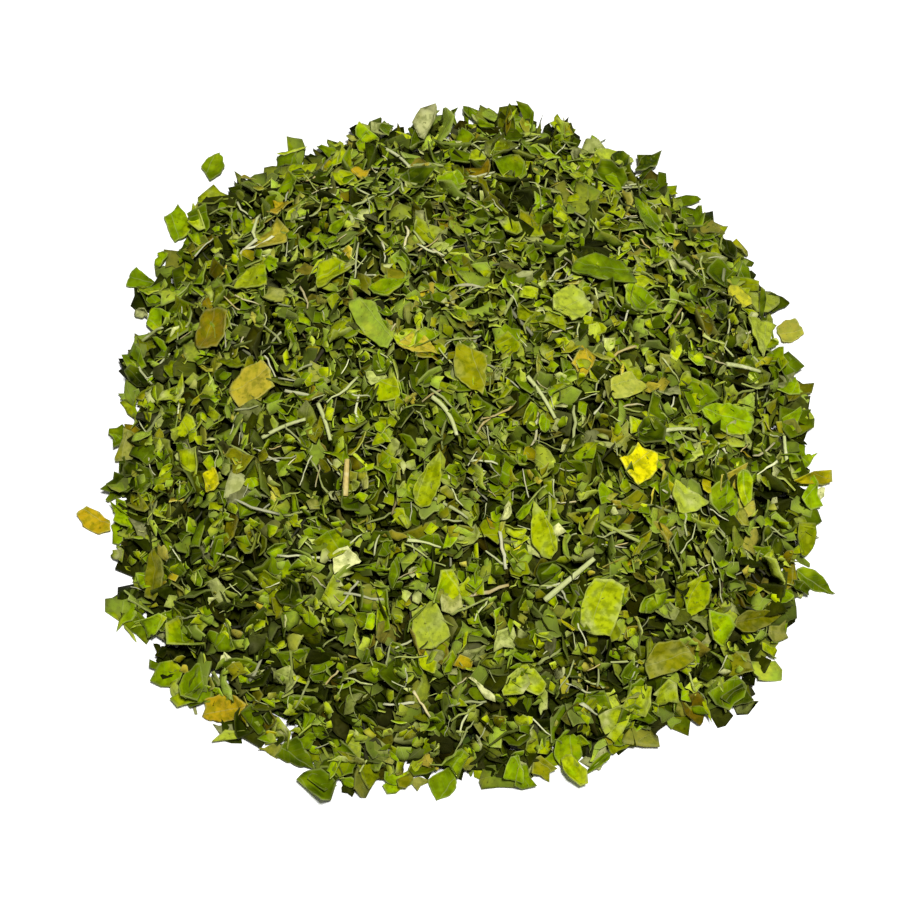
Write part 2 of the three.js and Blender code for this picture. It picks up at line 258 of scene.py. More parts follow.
def packedFinish():  # fine crumbs and dust in the depth of the heap, coloured dark as painted shade of the depth, with painted near-black shade in the gaps between crumbs
    f = Finish("packedCrumbsAndShade")
    place = f.node("ShaderNodeTexCoord", out="Object")
    inputs = {"Vector": place, "Scale": 1 / (1.6 * mm)}
    cells = f.node("ShaderNodeTexVoronoi", {"feature": "F1"}, inputs, out="Color")
    gaps = f.node("ShaderNodeTexVoronoi", {"feature": "DISTANCE_TO_EDGE"}, inputs, out="Distance")
    pick = f.node("ShaderNodeSeparateColor", {}, {0: cells}, out=0)
    # dark greens: the crumbs' own colour, darkened as painted shade of the heap's depth
    stops = [(0.0, "1b2606"), (0.4, "35460a"), (0.75, "55660f"), (1.0, "7b8640")]
    base = f.node("ShaderNodeValToRGB", {"stops": stops}, {0: pick})
    # painted shade: near black in the gaps between the crumbs
    colour = f.blend(gaps.between(0.0, 0.12, 1.0, 0.0), base, rgb("070a03"))
    bump = f.node("ShaderNodeBump", {}, {"Strength": 1.0, "Distance": 0.0005, "Height": gaps + pick})
    return f.surface(Base_Color=colour, Roughness=pick.between(0, 1, 0.75, 0.95), Normal=bump, Specular_IOR_Level=0.1)


finishes = {"leaf": leafFinish(), "stalk": stalkFinish(), "packed": packedFinish()}
print("finishes made")

# ---- shapes of flakes: each is cut from a leaflet, so it has curved margins and straight cuts

leaflet = {"length": 15.0, "width": 9.5}  # mm


def leafletMargin(points=28):
    margin = []
    for angle in np.linspace(0, 2 * math.pi, points, endpoint=False):
        half = 0.5 * leaflet["width"] * math.sin(angle) * (1 - 0.25 * math.cos(angle))
        margin.append((0.5 * leaflet["length"] * math.cos(angle), half))
    return margin


def cutAway(outline, point, normal):  # keeps the side of the line that normal points away from
    kept = []
    for here, after in zip(outline, outline[1:] + outline[:1]):
        a = (here[0] - point[0]) * normal[0] + (here[1] - point[1]) * normal[1]
        b = (after[0] - point[0]) * normal[0] + (after[1] - point[1]) * normal[1]
        if a <= 0:
            kept.append(here)
        if (a < 0 < b) or (b < 0 < a):
            share = a / (a - b)
            kept.append(tuple(h + share * (n - h) for h, n in zip(here, after)))
    return kept


def withCorners(outline, count, rng):  # drops the flattest points and splits the longest sides
    points = [np.array(p) for p in outline]

    def bend(i):
        before, here, after = points[i - 1], points[i], points[(i + 1) % len(points)]
        reach = np.linalg.norm(after - before) + 1e-9
        return abs(np.cross(after - before, here - before)) / reach

    while len(points) > count:
        points.pop(min(range(len(points)), key=bend))
    while len(points) < count:
        sides = [np.linalg.norm(points[(i + 1) % len(points)] - p) for i, p in enumerate(points)]
        i = int(np.argmax(sides))
        step = points[(i + 1) % len(points)] - points[i]
        nick = np.array([-step[1], step[0]]) * rng.uniform(-0.18, 0.18)
        points.insert(i + 1, points[i] + step * rng.uniform(0.38, 0.62) + nick)
    return points


def cutFlake(rng, corners):  # an outline in leaflet millimetres
    while True:
        outline = leafletMargin()
        middle = np.array([rng.uniform(-5, 5), rng.uniform(-3, 3)])
        for start in rng.uniform(0, 2 * math.pi) + np.arange(int(rng.integers(3, 5))) * rng.uniform(1.3, 1.9):
            away = np.array([math.cos(start), math.sin(start)])
            outline = cutAway(outline, middle + away * rng.uniform(1.3, 3.4), away)
        if len(outline) < 3:
            continue
        points = withCorners(outline, corners, rng)
        points = [p + rng.normal(0, 0.26, 2) for p in points]
        centre = np.mean(points, axis=0)
        turns = np.unwrap([math.atan2(*(p - centre)[::-1]) for p in points])
        spans = np.diff(np.append(turns, turns[0] + 2 * math.pi))
        reach = [np.linalg.norm(p - centre) for p in points]
        if spans.min() > 0.08 and spans.max() < 1.6 and min(reach) > 0.28 * max(reach):
            return points


# A closed plate over an outline: two skins, each a fan and one ring or none, and the rim between them.
# It is one unit long. Its leaf map keeps the place on the leaflet, and its bake map the place on a tile.
def plateMesh(name, outline, form, ringed=True):
    outline = np.array(outline)
    centre = outline.mean(axis=0)
    flat = outline - centre
    spread = np.linalg.svd(flat, full_matrices=False)[2]
    local = flat @ spread.T
    if np.linalg.det(spread) < 0:
        local[:, 1] *= -1
    span = np.ptp(local[:, 0])
    local /= span
    rings = [0.0, form["ring"], 1.0] if ringed else [0.0, 1.0]
    corners = len(outline)
    bm = bmesh.new()
    leafMap = bm.loops.layers.uv.new("leafMap")
    bakeMap = bm.loops.layers.uv.new("OFBake")
    reachLayer = bm.verts.layers.float.new("reach")
    underLayer = bm.verts.layers.float.new("underside")
    facts = {}
    widest = np.abs(local).max()

    def lifted(x, y):
        along, across = 2 * x, y / (np.abs(local[:, 1]).max() + 1e-6)
        bend = form["curl"] * along * along + form["fold"] * abs(across) ** 1.3
        return bend + form["twist"] * along * across + form["wave"] * math.sin(5 * along + form["shift"])

    def skin(under):
        side = -1 if under else 1
        made = []
        for share in rings:
            ring = []
            for i in range(1 if share == 0 else corners):
                x, y = local[i] * share
                vert = bm.verts.new((x, y, lifted(x, y) + side * form["thickness"] / 2))
                vert[reachLayer], vert[underLayer] = share, float(under)
                facts[vert] = (centre + (outline[i] - centre) * share, (x, y), under)
                ring.append(vert)
            made.append(ring)
        return made

    def face(verts, under=None):
        made = bm.faces.new(verts)
        made.smooth = under is not None
        for loop in made.loops:
            (onLeaf, (x, y), below) = facts[loop.vert]
            loop[leafMap].uv = (onLeaf[0] / 20.0, onLeaf[1] / 20.0)
            u, v = 0.25 + 0.22 * x / widest, 0.5 + 0.46 * y / widest
            loop[bakeMap].uv = (u + 0.5 * below, v)

    top, bottom = skin(False), skin(True)
    for i in range(corners):
        j = (i + 1) % corners
        for skinRings, under in ((top, False), (bottom, True)):
            fan = [skinRings[0][0], skinRings[1][i], skinRings[1][j]]
            face(fan[::-1] if under else fan, under)
            for inner, outer in zip(skinRings[1:], skinRings[2:]):
                quad = [inner[i], outer[i], outer[j], inner[j]]
                face(quad[::-1] if under else quad, under)
        face([top[-1][i], bottom[-1][i], bottom[-1][j], top[-1][j]])
    mesh = bpy.data.meshes.new(name)
    bm.to_mesh(mesh)
    bm.free()
    return mesh


def rodMesh(name, length, form, sides=6, steps=5):  # a bit of stalk, one unit long, bowed and tapered
    bm = bmesh.new()
    leafMap = bm.loops.layers.uv.new("leafMap")
    bakeMap = bm.loops.layers.uv.new("OFBake")
    rings = []
    for step in range(steps + 1):
        share = step / steps
        x = share - 0.5
        middle = Vector((x, form["bow"] * (1 - 4 * x * x), form["rise"] * math.sin(3 * x)))
        thick = 0.5 * form["thickness"] * (1 - form["taper"] * share)
        slant = form["cut"] * (0 if 0 < step < steps else 1)
        ring = []
        for i in range(sides):
            angle = 2 * math.pi * i / sides
            y, z = math.cos(angle) * thick, math.sin(angle) * thick * form["flat"]
            ring.append(bm.verts.new(middle + Vector((slant * y, y, z))))
        rings.append(ring)

    def face(verts, places, smooth):
        made = bm.faces.new(verts)
        made.smooth = smooth
        for loop, (u, v) in zip(made.loops, places):
            loop[leafMap].uv = (u * length / 10.0, v)
            loop[bakeMap].uv = (0.04 + 0.8 * u, 0.04 + 0.92 * v)

    for step in range(steps):
        for i in range(sides):
            j = (i + 1) % sides
            near, far = step / steps, (step + 1) / steps
            low, high = i / sides, (i + 1) / sides
            verts = [rings[step][i], rings[step + 1][i], rings[step + 1][j], rings[step][j]]
            face(verts[::-1], [(near, high), (far, high), (far, low), (near, low)], True)
    angles = [2 * math.pi * i / sides for i in range(sides)]
    for ring, shift in ((rings[0][::-1], 0.0), (rings[-1], 0.5)):
        places = [(1.1 + 0.05 * math.cos(a), 0.25 + shift + 0.2 * math.sin(a)) for a in angles]
        face(ring, places, False)
    bmesh.ops.recalc_face_normals(bm, faces=bm.faces)
    mesh = bpy.data.meshes.new(name)
    bm.to_mesh(mesh)
    bm.free()
    return mesh


shapePlan = {"seed": 11, "flakes": 44, "corners": 10, "slivers": 12, "crumbs": 16, "stalks": 10}


def shapeCollection(name, meshes):
    collection = bpy.data.collections.new(name)
    for i, mesh in enumerate(meshes):
        made = bpy.data.objects.new(f"{name} {i:02d}", mesh)
        collection.objects.link(made)
    return collection


def flakeForm(rng, thickness, bend=1.0):
    return {
        "ring": 0.6, "thickness": thickness, "curl": rng.normal(0.03, 0.15) * bend,
        "fold": rng.choice([rng.normal(0, 0.06), rng.uniform(0.1, 0.45)], p=[0.5, 0.5]) * bend,
        "twist": rng.normal(0, 0.1) * bend, "wave": rng.uniform(0.0, 0.05), "shift": rng.uniform(0, 6),
    }


def makeShapes():
    rng = np.random.default_rng(shapePlan["seed"])
    broad = [plateMesh("flake", cutFlake(rng, shapePlan["corners"]), flakeForm(rng, 0.045))
             for _ in range(shapePlan["flakes"])]
    for _ in range(shapePlan["slivers"]):
        outline = [np.array([p[0] * 1.25, p[1] * 0.42]) for p in cutFlake(rng, shapePlan["corners"])]
        broad.append(plateMesh("sliver", outline, flakeForm(rng, 0.04)))
    plain = [plateMesh("plain", cutFlake(rng, 7), flakeForm(rng, 0.06, 0.4), ringed=False)
             for _ in range(shapePlan["crumbs"])]
    rods = []
    for _ in range(shapePlan["stalks"]):
        form = {"bow": rng.normal(0, 0.035), "rise": rng.normal(0, 0.03), "cut": rng.uniform(-0.9, 0.9),
                "thickness": rng.uniform(0.055, 0.1), "taper": rng.uniform(0, 0.35), "flat": rng.uniform(0.6, 1)}
        rods.append(rodMesh("stalk", 10.0, form))
    return {"broad": shapeCollection("broad flakes", broad), "plain": shapeCollection("plain flakes", plain),
            "rods": shapeCollection("stalk bits", rods)}


shapes = makeShapes()

# ---- the heap as a map of heights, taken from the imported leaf's solid

grid = {"cell": 0.6, "halfWidth": 96.0}  # mm
cells = int(2 * grid["halfWidth"] / grid["cell"])
centres = (np.arange(cells) + 0.5) * grid["cell"] - grid["halfWidth"]


def nodeTree(*names):
    bm = bmesh.new()
    for name in names:
        bm.from_mesh(frame["nodes"][name].data)
    tree = BVHTree.FromBMesh(bm)
    bm.free()
    return tree


def cellOf(value):
    return int((value + grid["halfWidth"]) / grid["cell"])


def heapHeights():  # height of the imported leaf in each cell, in mm, and 0 off the heap
    tree = nodeTree(bulkNode)
    heights = np.zeros((cells, cells))
    down = Vector((0, 0, -1))
    for row, y in enumerate(centres):
        for column, x in enumerate(centres):
            if x * x + y * y < 90 ** 2:
                hit = tree.ray_cast(Vector((x * mm, y * mm, 0.2)), down)[0]
                if hit:
                    heights[row, column] = hit.z / mm
    return heights


looseNodes = [name for name in frame["nodes"] if name != bulkNode]


def roomUnder():  # lowest height of the named flakes in each cell, which the small leaf stays under
    room = np.full((cells, cells), 999.0)
    up = Vector((0, 0, 1))
    for name in looseNodes:
        tree = nodeTree(name)
        low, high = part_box(name)
        for row in range(cellOf(low[1] / mm), cellOf(high[1] / mm) + 1):
            for column in range(cellOf(low[0] / mm), cellOf(high[0] / mm) + 1):
                start = Vector((centres[column] * mm, centres[row] * mm, -0.01))
                hit = tree.ray_cast(start, up)[0]
                if hit:
                    room[row, column] = min(room[row, column], hit.z / mm)
    return room


heapTop = heapHeights()
room = roomUnder()
middle = np.array([np.average(centres, weights=(heapTop > 0).sum(axis=0)),
                   np.average(centres, weights=(heapTop > 0).sum(axis=1))])
print("heap heights read, highest", round(float(heapTop.max()), 1), "mm")


def footReach(angle):  # distance from the middle to the foot's edge, in mm
    for reach in np.arange(60, 95, 0.4):
        x, y = middle + reach * np.array([math.cos(angle), math.sin(angle)])
        if heapTop[cellOf(y), cellOf(x)] == 0:
            return reach
    return 95.0


# ---- leaf settles on the heap flake by flake, each lying on those before it

pour = {
    "seed": 20, "depth": 5.0,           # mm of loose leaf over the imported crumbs
    "flakes": 11000, "tries": 110000,
    "lean": 0.34,                       # random tilt, as a slope
    "steep": 0.18,                      # share of flakes wedged on edge
    "hiddenBelow": 2.4,                 # mm under the surface, where plain flakes do
    "thickness": 0.45,
    "hollowDepth": 1.7,                 # mm
}


class Pour:
    def __init__(self, rng, top):
        self.rng, self.top, self.flakes = rng, top, []

    def drop(self, x, y, length, width, kind, limit=None, lean=None, sink=80):
        rng = self.rng
        spin = rng.uniform(0, 2 * math.pi)
        reach = int(0.5 * length / grid["cell"]) + 1
        row, column = cellOf(y), cellOf(x)
        window = np.s_[row - reach:row + reach + 1, column - reach:column + reach + 1]
        under = self.top[window]
        if under.shape != (2 * reach + 1, 2 * reach + 1):
            return False
        dx, dy = np.meshgrid(centres[window[1]] - x, centres[window[0]] - y)
        along = dx * math.cos(spin) + dy * math.sin(spin)
        across = -dx * math.sin(spin) + dy * math.cos(spin)
        lies = (along / (0.46 * length)) ** 2 + (across / (0.46 * width)) ** 2 < 1
        if lies.sum() < 4:
            lies = np.hypot(dx, dy) < 1.1 * grid["cell"]
        px, py, pz = dx[lies], dy[lies], under[lies]
        matrix = np.stack([px, py, np.ones_like(px)], axis=1)
        slopeX, slopeY = np.linalg.lstsq(matrix, pz, rcond=None)[0][:2]
        lean = pour["lean"] if lean is None else lean
        if limit is not None and rng.random() < pour["steep"] and kind != "rods":
            away, steep = rng.uniform(0, 2 * math.pi), rng.uniform(0.8, 2.2)
            slopeX, slopeY = slopeX + steep * math.cos(away), slopeY + steep * math.sin(away)
            sink = 55
        else:
            slopeX, slopeY = slopeX + rng.normal(0, lean), slopeY + rng.normal(0, lean)
        steepness = math.hypot(slopeX, slopeY)
        if steepness > 2.4:
            slopeX, slopeY = slopeX * 2.4 / steepness, slopeY * 2.4 / steepness
        rise = slopeX * px + slopeY * py
        base = np.percentile(pz - rise, sink)
        lying = base + rise
        if limit is not None and base > limit:
            return False
        if (lying + pour["thickness"] > room[window][lies] - 0.5).sum() > 0.04 * lies.sum():
            return False
        base = max(base, 0.12 - rise.min() * 0.85)
        patch = under.copy()
        patch[lies] = np.maximum(under[lies], base + rise + pour["thickness"])
        self.top[window] = patch
        normal = np.array([-slopeX, -slopeY, 1.0])
        normal /= np.linalg.norm(normal)
        self.flakes.append((x, y, base + pour["thickness"] / 2, normal, spin, length, width, kind))
        return True


def middleness(x, y):  # 1 in the middle of the heap, 0 at its foot
    return max(0.0, 1 - math.hypot(x - middle[0], y - middle[1]) / 78)


def flakeSize(rng, x, y):
    inner = middleness(x, y)
    length = rng.lognormal(math.log(4.1 + 2.0 * (1 - inner)), 0.36)
    return float(np.clip(length, 2.0, 6.5 + 2.5 * (1 - inner))), float(rng.uniform(0.35, 0.85))


def hollows():  # small hollows and swells in the poured surface, in mm
    low = np.zeros((cells, cells))
    for row, y in enumerate(centres):
        for column, x in enumerate(centres):
            if heapTop[row, column] > 0:
                low[row, column] = noise.noise(Vector((x, y, 3.0)) / 7.0) * pour["hollowDepth"]
    return low


wantedTop = heapTop - 0.5 + hollows()


def pourHeap():
    rng = np.random.default_rng(pour["seed"])
    heap = Pour(rng, np.maximum(heapTop - pour["depth"], 0.0))
    floorEdge = [footReach(angle) for angle in np.radians(np.arange(0, 360, 2))]

    # flakes that slid to the foot and lie on the floor round it
    for angle in rng.uniform(0, 2 * math.pi, 480):
        edge = floorEdge[int(math.degrees(angle) / 2) % 180]
        x, y = middle + (edge + rng.normal(0.9, 1.7)) * np.array([math.cos(angle), math.sin(angle)])
        length, share = flakeSize(rng, x, y)
        heap.drop(x, y, length, length * share, "broad", lean=0.16)

    # the slopes and crown, filled up to the heap's own surface
    wanted = wantedTop
    inside = np.argwhere(heapTop > 0)
    for _ in range(pour["tries"]):
        if len(heap.flakes) >= pour["flakes"]:
            break
        row, column = inside[rng.integers(len(inside))]
        if heap.top[row, column] > wanted[row, column] - 0.2:
            continue
        x, y = centres[[column, row]] + rng.uniform(-0.3, 0.3, 2)
        stalkShare = 0.09 + 0.04 * (y > middle[1] + 30)
        level = wanted[row, column] + 0.9
        if rng.random() < stalkShare:
            length = float(np.clip(rng.lognormal(math.log(6.0), 0.35), 3, 12))
            heap.drop(x, y, length, 1.2, "rods", level + 0.3, lean=0.2)
        else:
            length, share = flakeSize(rng, x, y)
            heap.drop(x, y, length, length * share, "broad", level)

    # thin stalk bits that ended on top
    for row, column in inside[rng.integers(len(inside), size=270)]:
        length = float(np.clip(rng.lognormal(math.log(5.0), 0.35), 2.6, 9.5))
        heap.drop(centres[column], centres[row], length, 1.0, "rods", lean=0.12)
    return heap


def evened(top, reach=4):  # the heap's surface with the small gaps between flakes evened out
    total = np.zeros_like(top)
    for rows in range(-reach, reach + 1):
        for columns in range(-reach, reach + 1):
            total += np.roll(top, (rows, columns), (0, 1))
    return total / (2 * reach + 1) ** 2


heap = pourHeap()
settledTop = evened(heap.top) + 0.2
print("flakes settled:", len(heap.flakes))


def pourCrumbs(count=3000):  # small fragments that fell into the gaps between the flakes
    rng = np.random.default_rng(pour["seed"] + 1)
    crumbs = Pour(rng, heap.top)
    gaps = np.argwhere((heapTop > 0) & (heap.top < settledTop - 0.6))
    for row, column in gaps[rng.integers(len(gaps), size=count)]:
        if crumbs.top[row, column] < settledTop[row, column] - 0.5:
            x, y = centres[[column, row]] + rng.uniform(-0.3, 0.3, 2)
            length = rng.uniform(1.6, 3.6)
            limit = settledTop[row, column] + 0.3
            crumbs.drop(x, y, length, length * rng.uniform(0.4, 0.9), "plain", limit, sink=60)
    return crumbs


crumbs = pourCrumbs()
print("crumbs settled:", len(crumbs.flakes))


def layUnderside(count=1500):  # flakes pressed flat under the heap, seen only from below
    rng = np.random.default_rng(pour["seed"] + 2)
    flakes = []
    while len(flakes) < count:
        x, y = rng.uniform(-80, 80, 2)
        if heapTop[cellOf(y), cellOf(x)] > 2:
            normal = np.array([*rng.normal(0, 0.03, 2), 1.0])
            length = rng.uniform(4, 8)
            size = (length, length * rng.uniform(0.6, 1.0))
            height = rng.uniform(0.35, 1.1)
            flakes.append((x, y, height, normal / np.linalg.norm(normal), rng.uniform(0, 6.3), *size, "plain"))
    return flakes

# ---- Geometry Nodes put a shape at each place


def scatterTree():
    tree = bpy.data.node_groups.new("lay flakes", "GeometryNodeTree")
    sockets = [("Places", "NodeSocketGeometry"), ("Shapes", "NodeSocketCollection"),
               ("Finish", "NodeSocketMaterial"), ("Wrinkle depth", "NodeSocketFloat"),
               ("Wrinkle length", "NodeSocketFloat"), ("Seed", "NodeSocketFloat")]
    for name, kind in sockets:
        tree.interface.new_socket(name, in_out="INPUT", socket_type=kind)
    tree.interface.new_socket("Leaf", in_out="OUTPUT", socket_type="NodeSocketGeometry")

    def node(kind, inputs=None, **settings):
        made = tree.nodes.new(kind)
        for key, value in settings.items():
            setattr(made, key, value)
        for key, value in (inputs or {}).items():
            if isinstance(value, bpy.types.NodeSocket):
                tree.links.new(value, made.inputs[key])
            else:
                made.inputs[key].default_value = value
        return made

    given = node("NodeGroupInput").outputs

    def named(name, kind):
        return node("GeometryNodeInputNamedAttribute", {"Name": name}, data_type=kind).outputs["Attribute"]

    turned = node("FunctionNodeEulerToRotation", {0: named("flakeTurn", "FLOAT_VECTOR")}).outputs[0]
    collection = node("GeometryNodeCollectionInfo", {
        "Collection": given["Shapes"], "Separate Children": True, "Reset Children": True})
    laid = node("GeometryNodeInstanceOnPoints", {
        "Points": given["Places"], "Instance": collection.outputs[0], "Pick Instance": True,
        "Instance Index": named("flakeShape", "INT"), "Rotation": turned,
        "Scale": named("flakeSize", "FLOAT_VECTOR")})
    whole = node("GeometryNodeRealizeInstances", {"Geometry": laid.outputs[0]})

    # one field of waves bends all the flakes, so no two copies of a shape stay alike
    place = node("GeometryNodeInputPosition").outputs[0]
    shrunk = node("ShaderNodeVectorMath", {0: place}, operation="DIVIDE")
    tree.links.new(given["Wrinkle length"], shrunk.inputs[1])
    field = node("ShaderNodeTexNoise", {"Vector": shrunk.outputs[0], "W": given["Seed"], "Scale": 1.0,
                                        "Detail": 1.0}, noise_dimensions="4D")
    centred = node("ShaderNodeVectorMath", {0: field.outputs["Color"], 1: (0.5, 0.5, 0.5)}, operation="SUBTRACT")
    offset = node("ShaderNodeVectorMath", {0: centred.outputs[0], "Scale": given["Wrinkle depth"]},
                  operation="SCALE")
    bent = node("GeometryNodeSetPosition", {"Geometry": whole.outputs[0], "Offset": offset.outputs[0]})
    done = node("GeometryNodeSetMaterial", {"Geometry": bent.outputs[0], "Material": given["Finish"]})
    node("NodeGroupOutput", {0: done.outputs[0]})
    return tree


flakeTree = scatterTree()
wrinkle = {"depth": 2.3 * mm, "length": 3.6 * mm}

# Shares of each colour among the flakes: on the slopes, then crumbs
mixture = {
    "green": 0.24, "brightGreen": 0.27, "darkGreen": 0.1, "yellowGreen": 0.13, "paleGreen": 0.14,
    "greyGreen": 0.035, "olive": 0.09, "tan": 0.02, "orange": 0.01, "brown": 0.012, "cream": 0.012,
    "yellow": 0.003,
}


def colourOf(rng, count):
    names = list(mixture)
    shares = np.array(list(mixture.values()))
    picks = rng.choice(len(names), size=count, p=shares / shares.sum())
    tone = np.array([tones[names[i]] for i in picks])
    rare = tone > 0.74
    return tone + rng.normal(0, 1, count) * np.where(rare, 0.008, 0.045)


def shadeOf(rng, flakes, spread):  # painted shade: flakes lower in the heap are painted darker the deeper they lie, for the shade under the layers above them; the spread is each flake's own lightness
    sunk = np.array([settledTop[cellOf(f[1]), cellOf(f[0])] - f[2] for f in flakes])
    # painted shade starts 0.5 mm under the evened surface and is near black by 2.1 mm
    paintedDepthShade = np.clip((sunk - 0.5) / 1.6, 0, 1)
    return np.clip(rng.normal(0.82, spread, len(flakes)), 0.6, 1.4) * (1 - 0.93 * paintedDepthShade)


def turnOf(normal, spin, flipped):
    upright = Vector(normal)
    along = Vector((math.cos(spin), math.sin(spin), 0))
    along = (along - upright * along.dot(upright)).normalized()
    if flipped:
        upright = -upright
    across = upright.cross(along)
    return Matrix((along, across, upright)).transposed().to_euler()


def layPiece(name, flakes, kind, finish, seed, replaces=(bulkNode,), shadeSpread=0.2):
    rng = np.random.default_rng(seed)
    count = len(flakes)
    mesh = bpy.data.meshes.new(name + " places")
    mesh.from_pydata([(f[0] * mm, f[1] * mm, f[2] * mm) for f in flakes], [], [])
    flips = rng.random(count) < 0.34
    turns = [turnOf(f[3], f[4], flip) for f, flip in zip(flakes, flips)]
    if kind == "rods":
        sizes = [(f[5] * mm,) * 3 for f in flakes]
        tone = rng.uniform(0, 1, count)
    else:
        sizes = [(f[5] * mm, f[6] / 0.75 * mm, f[5] * mm) for f in flakes]
        tone = colourOf(rng, count)
    values = {
        "flakeTurn": ("FLOAT_VECTOR", "vector", np.array(turns).ravel()),
        "flakeSize": ("FLOAT_VECTOR", "vector", np.array(sizes).ravel()),
        "flakeShape": ("INT", "value", rng.integers(len(shapes[kind].objects), size=count)),
        "flakeNumber": ("INT", "value", np.arange(count)),
        "tone": ("FLOAT", "value", np.clip(tone, 0, 1)),
        "shade": ("FLOAT", "value", shadeOf(rng, flakes, shadeSpread)),
    }
    for key, (dataType, field, data) in values.items():
        mesh.attributes.new(key, dataType, "POINT").data.foreach_set(field, data)
    places = bpy.data.objects.new(name + " places", mesh)
    bpy.context.scene.collection.objects.link(places)
    modifier = places.modifiers.new("lay", "NODES")
    modifier.node_group = flakeTree
    given = {"Shapes": shapes[kind], "Finish": finishes[finish], "Wrinkle depth": wrinkle["depth"],
             "Wrinkle length": wrinkle["length"], "Seed": float(seed)}
    for socket in flakeTree.interface.items_tree:
        if socket.name in given:
            modifier[socket.identifier] = given[socket.name]
    ready = places.evaluated_get(bpy.context.evaluated_depsgraph_get())
    laid = bpy.data.meshes.new_from_object(ready)
    laid.name = name
    piece = bpy.data.objects.new(name, laid)
    bpy.context.scene.collection.objects.link(piece)
    bpy.data.objects.remove(places)
    keepAboveFloor(laid)
    spreadBakeTiles(laid, count)
    dropLayers(laid)
    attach(piece, "root")
    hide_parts(*replaces)
    print(f"{name}: {count} pieces, {sum(len(p.vertices) - 2 for p in laid.polygons)} triangles")
    return piece


def keepAboveFloor(mesh):
    points = np.empty(len(mesh.vertices) * 3)
    mesh.vertices.foreach_get("co", points)
    points = points.reshape(-1, 3)
    low = points[:, 2] < 0.05 * mm
    points[low, 2] = 0.05 * mm + 0.05 * np.maximum(points[low, 2], -4 * mm)
    points[:, 2] = np.maximum(points[:, 2], 0.01 * mm)
    mesh.vertices.foreach_set("co", points.ravel())
    mesh.update()


def spreadBakeTiles(mesh, count):  # gives each flake a tile of its own in the bake map
    across = math.ceil(math.sqrt(count / 2))
    numbers = np.empty(len(mesh.vertices), dtype=np.int32)
    mesh.attributes["flakeNumber"].data.foreach_get("value", numbers)
    corners = np.empty(len(mesh.loops), dtype=np.int32)
    mesh.loops.foreach_get("vertex_index", corners)
    layer = mesh.uv_layers["OFBake"].data
    places = np.empty(len(corners) * 2)
    layer.foreach_get("uv", places)
    places = places.reshape(-1, 2)
    tile = numbers[corners]
    places[:, 0] = (tile % across + places[:, 0]) / across
    places[:, 1] = (tile // across + places[:, 1]) / (2 * across + 1)
    layer.foreach_set("uv", places.ravel())


def dropLayers(mesh):
    for name in ("flakeTurn", "flakeSize", "flakeShape", "flakeNumber"):
        if name in mesh.attributes:
            mesh.attributes.remove(mesh.attributes[name])


def depthOf(flake):
    return heapTop[cellOf(flake[1]), cellOf(flake[0])] - flake[2]


def layHeap():
    flakes = [f for f in heap.flakes if f[7] == "broad"]
    deep = [f for f in flakes if depthOf(f) > pour["hiddenBelow"]]
    shallow = [f for f in flakes if depthOf(f) <= pour["hiddenBelow"]]
    quarters = {"back_left": (-1, 1), "back_right": (1, 1), "front_left": (-1, -1), "front_right": (1, -1)}
    for seed, (name, (sideX, sideY)) in enumerate(quarters.items()):
        near = [f for f in shallow
                if (f[0] >= middle[0]) == (sideX > 0) and (f[1] >= middle[1]) == (sideY > 0)]
        layPiece("loose_flakes_" + name, near, "broad", "leaf", 40 + seed)
    layPiece("inner_flakes", deep, "plain", "leaf", 50)
    layPiece("loose_stalk_bits", [f for f in heap.flakes if f[7] == "rods"], "rods", "stalk", 51)
    layPiece("leaf_crumbs", crumbs.flakes, "plain", "leaf", 52)
    layPiece("underside_flakes", layUnderside(), "plain", "leaf", 53)


layHeap()


def packedCrumbsAndShade():  # the mass in the depth of the heap, under all the loose leaf, painted dark for the shade down there
    mesh = frame["nodes"][bulkNode].data.copy()
    mesh.name = "packed_crumbs"
    bm = bmesh.new()
    bm.from_mesh(mesh)
    bmesh.ops.remove_doubles(bm, verts=bm.verts, dist=1e-6)
    bmesh.ops.subdivide_edges(bm, edges=bm.edges, cuts=1, use_grid_fill=True)
    centre = Vector((middle[0] * mm, middle[1] * mm, 0))
    for vert in bm.verts:
        if vert.co.z > 0.2 * mm:
            ripple = noise.noise(vert.co / (2.5 * mm)) * 0.6 * mm
            vert.co.z = max(vert.co.z - (pour["depth"] + 0.4) * mm + ripple, 1.5 * mm)
        else:
            vert.co.z = 1.2 * mm
        vert.co.xy = centre.xy + (vert.co.xy - centre.xy) * 0.93
    for face in bm.faces:
        face.smooth = True
    bm.to_mesh(mesh)
    bm.free()
    mesh.materials.clear()
    mesh.materials.append(finishes["packed"])
    piece = bpy.data.objects.new("packed_crumbs", mesh)
    bpy.context.scene.collection.objects.link(piece)
    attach(piece, "root")
    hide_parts(bulkNode)


packedCrumbsAndShade()
print("packed crumbs made")

# ---- the flakes that have names, finished on their own solids

